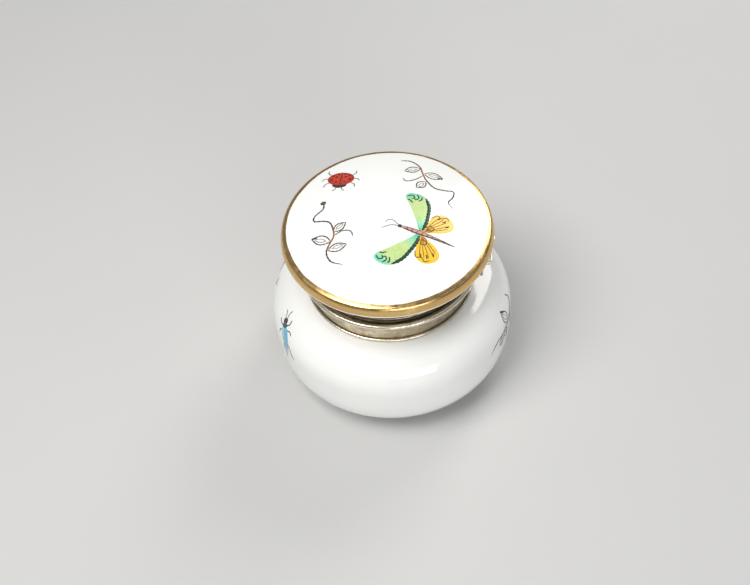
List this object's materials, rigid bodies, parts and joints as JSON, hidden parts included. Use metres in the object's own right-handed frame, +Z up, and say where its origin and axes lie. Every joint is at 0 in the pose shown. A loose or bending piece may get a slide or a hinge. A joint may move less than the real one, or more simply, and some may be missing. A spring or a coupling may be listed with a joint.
{
  "type": "hinged porcelain pill box",
  "caption": "Squat round porcelain pill box with an overhanging domed lid, metal rim mounts, a back hinge and a bow clasp.",
  "frame": {"origin": "centre of the foot ring, on the surface the box stands on", "axes": "+Z up through the lid, -Y towards the clasp, +Y towards the hinge, X along the hinge pin"},
  "size_m": [0.05, 0.05, 0.0415],
  "materials": {
    "porcelain": "gloss",
    "cement": "matte",
    "mount_brass": "satin",
    "trim_brass": "polished"
  },
  "bodies": {
    "base": {"pot": "porcelain", "pot_cement": "cement", "pot_collar": "mount_brass", "collar_foot_wire": "trim_brass", "collar_bead": "trim_brass", "inner_lip": "mount_brass", "base_hinge_block": "mount_brass", "base_knuckle_left": "mount_brass", "base_knuckle_right": "mount_brass", "hinge_pin": "trim_brass", "catch_stud": "trim_brass"},
    "lid": {"lid_cap": "porcelain", "lid_cement": "cement", "lid_bezel": "mount_brass", "lid_hinge_leaf": "mount_brass", "lid_knuckle": "mount_brass", "clasp_tongue": "mount_brass", "bow_knot": "trim_brass", "bow_loop_left": "trim_brass", "bow_loop_right": "trim_brass", "bow_tail_left": "trim_brass", "bow_tail_right": "trim_brass"}
  },
  "joints": [
    {"name": "lid_hinge", "type": "hinge", "parent": "base", "child": "lid", "pos_m": [0, 0.0197, 0.0295], "axis": [-1, 0, 0], "range_deg": [0, 105]}
  ]
}
